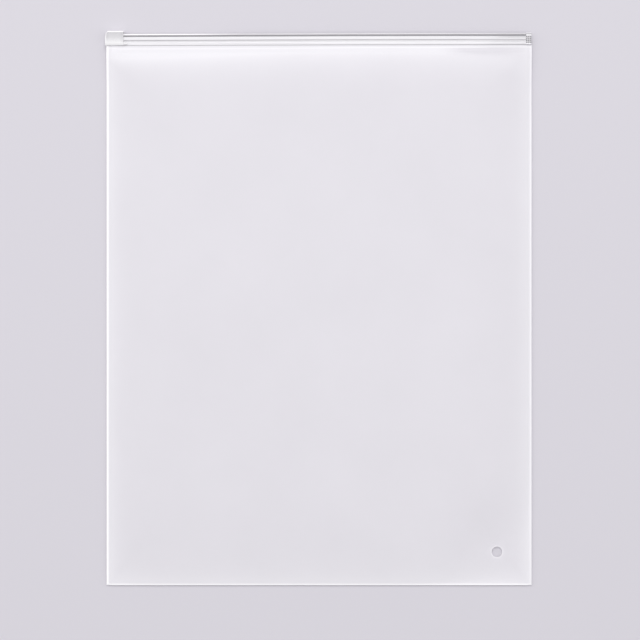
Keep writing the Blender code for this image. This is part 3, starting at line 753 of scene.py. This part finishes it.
def zip_track(name, side, hooked):
    """One track: its section carried along X, melting into the flattened pad at each
    end, with round pits pressed into the pads' outer face. Side is 1 in front."""
    section, pad = track_section(hooked)
    near = graded([
        (CRUSH_START - 0.002, 0.0010),
        (CRUSH_START, 0.0001),
        (CRUSH_START + CRUSH_EASE, 0.0001),
        (TRACK_END - CRUSH_ROUNDING, 0.00019),
    ])
    turns = np.radians([60, 30, 0])
    rounding = TRACK_END - CRUSH_ROUNDING * (1.0 - np.cos(turns))
    right = np.concatenate([np.linspace(0.0, near[0], 40)[1:-1], near, rounding])
    x = np.concatenate([-right[::-1], [0.0], right])[:, None]
    melted = smooth_step((np.abs(x) - CRUSH_START) / CRUSH_EASE)
    down = section[None, :, 0] + (pad[None, :, 0] - section[None, :, 0]) * melted
    out = section[None, :, 1] + (pad[None, :, 1] - section[None, :, 1]) * melted

    from_end = np.clip(TRACK_END - np.abs(x), 0.0, CRUSH_ROUNDING)
    inset = CRUSH_ROUNDING - np.sqrt(CRUSH_ROUNDING**2 - (CRUSH_ROUNDING - from_end) ** 2)
    pad_middle = (CRUSH_BOTTOM - CRUSH_RISE) / 2
    pad_depth = (CRUSH_HALF + CRUSH_INNER_HALF) / 2
    down = down + np.sign(pad_middle - down) * inset * melted
    pit = knurl(np.abs(x), down) * melted * (out > pad_depth)
    out = out + np.sign(pad_depth - out) * inset * melted - KNURL_DEPTH * pit

    points = np.stack(
        [x + 0.0 * down, TRACK_TOP_Y - down + zip_line(x), ZIP_HEIGHT + side * out], axis=-1
    )
    index = np.arange(points.size // 3).reshape(points.shape[:2])
    index = index[:, ::-side]
    faces = tube_faces(index)
    attributes = {"solid_and_painted_light": track_solid_and_painted_light(x, down, melted, pit)}
    return mesh_object(name, points, faces, attributes)


def knurl(x, down):
    """Round pits on a square pitch over a pad: 1 in the middle of a pit and 0 between,
    the product of two raised cosines, sharpened."""
    u = ((CRUSH_START + TRACK_END) / 2 - x) / KNURL_PITCH
    v = (down - KNURL_MIDDLE) / KNURL_PITCH
    inside = (np.abs(u) < KNURL_COLUMNS / 2) & (np.abs(v) < KNURL_ROWS / 2)
    dots = (0.5 + 0.5 * np.cos(2 * math.pi * u)) * (0.5 - 0.5 * np.cos(2 * math.pi * v))
    return np.where(inside, smooth_step(KNURL_STEEPNESS * dots - KNURL_LEVEL), 0.0)


def track_solid_and_painted_light(x, down, melted, pit):
    """How white the plastic is painted, from 0, dark, to 1, white: the heights of
    SOLID_AND_PAINTED_LIGHT, from its first column to its second along the zip, with
    painted shade in the grooves and a painted highlight on the bead. The bead's highlight
    is stronger near the slider, the whole zip and the upper half of its rail have more
    painted shade at the knurled end, and a pad has its own heights, a greyer field and
    dark pits of painted shade."""
    heights, left, right = zip(*SOLID_AND_PAINTED_LIGHT)
    along = np.interp(down, heights, left)
    rightward = ramp(x, *KNURLED_END_SPAN)
    along = along + (np.interp(down, heights, right) - along) * rightward
    # The bead's painted highlight fades away from the slider; painted shade grows over the zip
    # and the upper rail at the knurled end
    bead = (down < BEAD_HEIGHT + STEP_SLOPE / 2) * ramp(x, *BEAD_SPAN)
    along = along * (1.0 - BEAD_HIGHLIGHT_LOSS * bead) * (1.0 - END_SHADE * ramp(x, *END_SPAN))
    upper = (down > RAIL_TOP - STEP_SLOPE) * smooth_step((RAIL_MIDDLE + 0.0003 - down) / 0.0004)
    along = along * (1.0 - UPPER_RAIL_SHADE * upper * ramp(x, *UPPER_RAIL_SPAN))
    # A pad's painted highlight and shade, a greyer field and dark pits of painted shade
    pad = np.interp(down, *zip(*PAD_SOLID_AND_PAINTED_LIGHT))
    field = smooth_step((KNURL_ROWS * KNURL_PITCH / 2 - np.abs(down - KNURL_MIDDLE)) / 0.0004)
    pad = pad * (1.0 - FIELD_SHADE * field)
    return (along + (pad - along) * melted) * (1.0 - PIT_SHADE * pit)


def loft(name, rings, attributes):
    """A closed tube from rings of points, with a flat face on each end."""
    index = np.arange(rings.size // 3).reshape(rings.shape[:2])
    return mesh_object(name, rings, tube_faces(index[:, ::-1]), attributes)


def soft_bar(x, up, out, steps=20):
    """Rings of a bar with soft edges along X: at each x a superellipse of power 4
    between two values of up and two of out."""
    turn = np.linspace(0.0, 2 * math.pi, steps, endpoint=False)[None, :]
    u = np.sign(np.cos(turn)) * np.sqrt(np.abs(np.cos(turn)))
    v = np.sign(np.sin(turn)) * np.sqrt(np.abs(np.sin(turn)))
    (low, high), (near, far) = up, out
    y = TRACK_TOP_Y + (low + high)[:, None] / 2 + (high - low)[:, None] / 2 * u
    z = ZIP_HEIGHT + (near + far)[:, None] / 2 + (far - near)[:, None] / 2 * v
    return np.stack([SLIDER_X + x[:, None] + 0.0 * u, y, z], axis=-1)


def saddle_section():
    """The slider's section as points (up from the tracks' top edge, out from the middle
    plane): a roof, two walls and their inward shoulders."""
    half = [
        (SLIDER_TOP, SLIDER_HALF),
        (SLIDER_TOP - SLIDER_RIM, SLIDER_HALF),
        (SLIDER_TOP - SLIDER_RIM - SLIDER_EDGE, SLIDER_HALF),
        (-SLIDER_WAIST, SLIDER_HALF),
        (SLIDER_LIP + 0.0012 - SLIDER_BOTTOM, SLIDER_HALF),
        (SLIDER_LIP + 0.0004 - SLIDER_BOTTOM, SLIDER_HALF - 0.00005),
        (SLIDER_LIP / 2 - SLIDER_BOTTOM, SLIDER_HALF - SLIDER_LIP_MIDDLE_DEPTH),
        (-SLIDER_BOTTOM, SLIDER_HALF - SLIDER_LIP_DEPTH),
        (-SLIDER_BOTTOM, SHOULDER_HALF),
        (-RAIL_BOTTOM - RUNNING_GAP, SHOULDER_HALF),
        (-RAIL_BOTTOM - RUNNING_GAP, SLIDER_INNER_HALF),
        (SLIDER_TOP_GAP, SLIDER_INNER_HALF),
    ]
    return soft_outline(half + [(up, -out) for up, out in reversed(half)])


def face_panel_and_painted_light(x, up):
    """How deep a face's shallow panel is, from 0 to 1, x along the slider and up from
    the tracks' top edge: the product of a step along the slider, shallower at its ends
    and away from its rims, and of steps up from its lower edge and down from its roof.
    The same value greys the face's colour, so the white rim round the face is a painted
    highlight, and the face is lighter towards its middle and its lower part as painted
    light."""
    across = 0.30 + 0.70 * ramp(x, 0.0004, 0.0009)
    across = across * (1.0 - 0.35 * smooth_step((x + 0.0007 - SLIDER_LENGTH) / 0.0006))
    from_rim = np.minimum(x, SLIDER_LENGTH - x) - SLIDER_RIM
    across = across * (1.0 - 0.14 * smooth_step(from_rim / 0.0026))
    upward = smooth_step((SLIDER_TOP - 0.0007 - up) / 0.0007)
    upward = upward * (1.0 - 0.22 * smooth_step((0.0015 - up) / 0.0060))
    return across * upward * smooth_step((up + SLIDER_BOTTOM + 0.0008) / 0.0075)


def saddle():
    """The slider's body: its section carried along X, its ends rounded by an inset along
    the outline's normals, its outer end slanted back towards the roof, and a shallow
    panel sunk into each face."""
    section = saddle_section()
    x = graded([
        (0.0, 0.00003),
        (SLIDER_ROUNDING, 0.00013),
        (SLIDER_RIM, 0.00015),
        (SLIDER_SLANT_HEIGHT + SLIDER_EDGE, 0.0002),
        (SLIDER_LENGTH - SLIDER_RIM - SLIDER_EDGE, 0.0008),
        (SLIDER_LENGTH - SLIDER_RIM, 0.00015),
        (SLIDER_LENGTH - SLIDER_ROUNDING, 0.00015),
        (SLIDER_LENGTH, 0.00003),
    ])
    from_end = np.minimum(np.minimum(x, SLIDER_LENGTH - x), SLIDER_ROUNDING)
    inset = SLIDER_ROUNDING - np.sqrt(SLIDER_ROUNDING**2 - (SLIDER_ROUNDING - from_end) ** 2)
    along = np.roll(section, -1, axis=0) - np.roll(section, 1, axis=0)
    normal = np.stack([along[:, 1], -along[:, 0]], axis=1) / np.hypot(*along.T)[:, None]
    shape = section[None] - SLIDER_ROUNDING_SHARE * inset[:, None, None] * normal[None]
    up, out = shape[..., 0], shape[..., 1]

    x = x[:, None]
    set_back = SLIDER_SLANT * np.clip(up + SLIDER_SLANT_HEIGHT - SLIDER_TOP, 0.0, None)
    set_back = set_back * np.clip(1.0 - x / SLIDER_SLANT_LENGTH, 0.0, 1.0)
    # The panel also sets the colour: a painted highlight on the rim, painted light on the face
    panel = face_panel_and_painted_light(x, up)
    on_face = np.abs(section[None, :, 1]) > SLIDER_HALF - 0.0001
    out = out - np.sign(out) * SLIDER_RECESS * panel * on_face
    points = np.stack(
        [SLIDER_X + x + set_back, TRACK_TOP_Y + up, ZIP_HEIGHT + out], axis=-1
    )
    return loft("slider_body", points, {"panel": panel})


def inside_piece(name, rings):
    """A soft bar of the slider, with the finish that its inside has."""
    return loft(name, rings, {"panel": np.full(rings.shape[:2], INSIDE_FINISH)})


def slider():
    """The moulded slider as one piece: the saddle, its separating foot, narrower towards
    the inner end, and two guide tongues that round off as sqrt(1 - t^3)."""
    steps = np.linspace(0.0, 1.0, 9)
    foot_x = FOOT_START + FOOT_LENGTH * steps
    taper = FOOT_HALF * (1.0 - FOOT_TAPER * smooth_step(2.0 * steps - 0.5))
    low = np.full(steps.size, FOOT_GAP + ZIP_END - RAIL_TOP)
    high = np.full(steps.size, SLIDER_TOP_GAP + SLIDER_ROOF / 2)
    body = saddle()
    pieces = [body, inside_piece("slider_foot", soft_bar(foot_x, (low, high), (-taper, taper)))]

    end = SLIDER_LENGTH + TONGUE_LENGTH
    beyond = end - TONGUE_LENGTH * (1 - np.sin(steps * math.pi / 2))[1:]
    root = [SLIDER_LENGTH - TONGUE_ROOT, SLIDER_LENGTH]
    tongue_x = np.concatenate([root, beyond])
    share = np.clip((tongue_x - SLIDER_LENGTH) / TONGUE_LENGTH, 0.0, 0.9999)
    fine = np.sqrt(1.0 - share**3)
    middle = SLIDER_ROUNDING - SLIDER_BOTTOM + TONGUE_HEIGHT / 2
    up = (middle - TONGUE_HEIGHT / 2 * fine, middle + TONGUE_HEIGHT / 2 * fine)
    for side in (1, -1):
        centre = side * (SHOULDER_HALF + TONGUE_THICKNESS / 2)
        half = TONGUE_THICKNESS / 2 * (TONGUE_TIP_SHARE + (1 - TONGUE_TIP_SHARE) * fine)
        tongue = soft_bar(tongue_x, up, (centre - half, centre + half))
        pieces.append(inside_piece("slider_tongue", tongue))
    with bpy.context.temp_override(active_object=body, selected_editable_objects=pieces):
        bpy.ops.object.join()
    return body


class Value:
    """A number that varies over a surface: one output socket of a finish's nodes."""

    def __init__(self, finish, socket):
        self.finish = finish
        self.socket = socket

    def math(self, operation, *operands):
        """A value from a Math node on these operands."""
        inputs = dict(enumerate(operands))
        return self.finish.node("ShaderNodeMath", {"operation": operation}, inputs)

    def __add__(self, other):
        return self.math("ADD", self, other)

    __radd__ = __add__

    def __sub__(self, other):
        return self.math("SUBTRACT", self, other)

    def __rsub__(self, other):
        return self.math("SUBTRACT", other, self)

    def __mul__(self, other):
        return self.math("MULTIPLY", self, other)

    __rmul__ = __mul__


class Finish:
    """One material, whose nodes are added by calls and by expressions on values."""

    def __init__(self, name):
        self.material = bpy.data.materials.new(name)
        self.material.use_nodes = True
        self.tree = self.material.node_tree
        self.tree.nodes.clear()

    def node(self, kind, settings=None, inputs=None, output=0):
        """A node of this kind: its settings first, then its sockets, each a number, a
        colour or a value to link, by name or by number."""
        node = self.tree.nodes.new(kind)
        for name, setting in (settings or {}).items():
            setattr(node, name, setting)
        for name, given in (inputs or {}).items():
            if isinstance(given, Value):
                self.tree.links.new(given.socket, node.inputs[name])
            else:
                node.inputs[name].default_value = given
        return Value(self, node.outputs[output])

    def attribute(self, name):
        """A number that the mesh holds at every point."""
        return self.node("ShaderNodeAttribute", {"attribute_name": name}, output="Fac")

    def noise(self, scale, detail=2.0, stretch=(1.0, 1.0, 1.0)):
        """Cloudy variation about 0.5 on object coordinates."""
        place = self.node("ShaderNodeTexCoord", output="Object")
        place = self.node("ShaderNodeMapping", None, {"Vector": place, "Scale": stretch})
        inputs = {"Vector": place, "Scale": scale, "Detail": detail}
        return self.node("ShaderNodeTexNoise", None, inputs)

    def mix(self, share, first, second):
        """From the first colour to the second by share."""
        colours = [(*c, 1.0) if isinstance(c, tuple) else c for c in (first, second)]
        inputs = {0: share, 6: colours[0], 7: colours[1]}
        return self.node("ShaderNodeMix", {"data_type": "RGBA"}, inputs, output=2)

    def bump(self, height, strength, distance):
        """A normal that a varying height tilts."""
        inputs = {"Height": height, "Strength": strength, "Distance": distance}
        return self.node("ShaderNodeBump", None, inputs)

    def close(self, **sockets):
        """The surface shader, with its sockets by name, wired to the output."""
        inputs = {name.replace("_", " "): given for name, given in sockets.items()}
        shader = self.node("ShaderNodeBsdfPrincipled", None, inputs)
        self.tree.nodes.new("ShaderNodeOutputMaterial")
        output = self.tree.nodes["Material Output"]
        self.tree.links.new(shader.socket, output.inputs["Surface"])
        return self.material


def frosted_film():
    """Milky film, frosted outside and clear inside: part see-through, whiter where it is
    fused, with painted highlights on the seams and the fold and painted light under the
    zip and beside the edges, a faint cloudiness and a fine frosting in its sheen."""
    finish = Finish("frosted_film")
    weld_and_highlight, painted_light = finish.attribute("weld_and_highlight"), finish.attribute("painted_light")
    cloud = finish.noise(14.0, 3.0)
    frosting = finish.noise(1400.0, 2.0)
    milky = finish.mix(cloud, *MILKY)
    # Painted light whitens the film under the zip and beside its edges
    lit_milky = finish.mix(painted_light, milky, PAINTED_LIGHT_COLOUR)
    cover = 0.73 + 0.04 * cloud + 0.10 * painted_light + 0.22 * weld_and_highlight
    outside = finish.attribute("frosting")
    return finish.close(
        Base_Color=finish.mix(weld_and_highlight, lit_milky, FUSED_AND_HIGHLIGHT),
        Alpha=cover * (0.06 + 0.94 * outside),
        Roughness=0.42 + 0.16 * frosting - 0.20 * weld_and_highlight,
        Normal=finish.bump(frosting, 0.04, 0.0004),
    )


def track_plastic():
    """Natural extruded plastic: glossy, part see-through, dark with painted shade where it
    is clear over the hollow between the tracks, white with a painted highlight along the
    bead, and faintly drawn out along the zip."""
    finish = Finish("zip_track_plastic")
    solid_and_painted_light = finish.attribute("solid_and_painted_light")
    drawn = finish.noise(60.0, 2.0, (0.15, 3.0, 3.0))
    body = finish.mix(drawn, *DRAWN_PLASTIC)
    return finish.close(
        Base_Color=finish.mix(solid_and_painted_light, SHADED_CLEAR_PLASTIC, body),
        Alpha=0.76 + 0.03 * drawn + 0.20 * solid_and_painted_light,
        Roughness=0.16 + 0.10 * drawn,
        Normal=finish.bump(drawn, 0.10, 0.0003),
    )


def slider_plastic():
    """Milky moulded plastic: a smooth rim painted white as a highlight, and a faintly
    clouded, clearer panel, grey partly as painted shade.
    """
    finish = Finish("slider_plastic")
    panel = finish.attribute("panel")
    cloud = finish.noise(260.0, 2.0)
    face = finish.mix(cloud, *SLIDER_FACE)
    return finish.close(
        Base_Color=finish.mix(panel, SLIDER_RIM_HIGHLIGHT, face),
        Alpha=1.0 - 0.30 * panel,
        Roughness=0.20 + 0.12 * cloud,
        Normal=finish.bump(cloud, 0.05, 0.0003),
    )


def softbox(name, at, size, power):
    """A rectangular lamp at a place, facing the middle of the bag."""
    lamp = bpy.data.lights.new(name, "AREA")
    lamp.shape = "RECTANGLE"
    lamp.size, lamp.size_y = size
    lamp.energy = power
    obj = bpy.data.objects.new(name, lamp)
    obj.location = at
    obj.rotation_euler = (-obj.location).to_track_quat("-Z", "Y").to_euler()
    bpy.context.scene.collection.objects.link(obj)


def studio():
    """A pale floor, an even sky that the camera sees in the floor's colour, and soft
    lamps: one overhead, and one on each side of the bag."""
    half = FLOOR_HALF
    corners = [(-half, -half, 0.0), (half, -half, 0.0), (half, half, 0.0), (-half, half, 0.0)]
    mesh = bpy.data.meshes.new("floor")
    mesh.from_pydata(corners, [], [(0, 1, 2, 3)])
    floor = bpy.data.objects.new("floor", mesh)
    bpy.context.scene.collection.objects.link(floor)
    paper = Finish("floor_paper")
    floor.data.materials.append(paper.close(Base_Color=PAPER, Roughness=0.9))

    world = bpy.data.worlds.new("studio")
    bpy.context.scene.world = world
    world.use_nodes = True
    nodes, links = world.node_tree.nodes, world.node_tree.links
    sky, seen = nodes["Background"], nodes.new("ShaderNodeBackground")
    sky.inputs["Color"].default_value = SKY
    sky.inputs["Strength"].default_value = SKY_STRENGTH
    seen.inputs["Color"].default_value = SEEN_SKY
    path, either = nodes.new("ShaderNodeLightPath"), nodes.new("ShaderNodeMixShader")
    links.new(path.outputs["Is Camera Ray"], either.inputs["Fac"])
    links.new(sky.outputs["Background"], either.inputs[1])
    links.new(seen.outputs["Background"], either.inputs[2])
    links.new(either.outputs["Shader"], nodes["World Output"].inputs["Surface"])
    for name, at, size, power in LAMPS:
        softbox(name, at, size, power)


def camera():
    """A long lens straight above, so that a square picture shows the bag where the
    photograph has it: each pixel is PIXEL wide, and the picture's middle is at VIEW."""
    field = PICTURE * PIXEL
    lens = bpy.data.cameras.new("camera")
    lens.lens = LENS
    lens.sensor_width = SENSOR
    lens.clip_end = FAR
    obj = bpy.data.objects.new("camera", lens)
    obj.location = (*VIEW, ZIP_HEIGHT + field * lens.lens / lens.sensor_width)
    bpy.context.scene.collection.objects.link(obj)
    bpy.context.scene.camera = obj


def dress(obj, material, body, node):
    """Give a finished piece its finish and its body, and hide the node it stands for."""
    obj.data.materials.clear()
    obj.data.materials.append(material)
    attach(obj, body)
    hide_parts(node)


def main():
    bpy.context.scene.view_settings.view_transform = "Standard"
    camera()
    studio()
    film = film_pouch()
    dress(film, frosted_film(), "bag", "film_pouch")
    plastic = track_plastic()
    dress(zip_track("zip_track_front", 1, True), plastic, "bag", "track_front")
    dress(zip_track("zip_track_back", -1, False), plastic, "bag", "track_back")
    dress(slider(), slider_plastic(), "slider", "slider")


main()
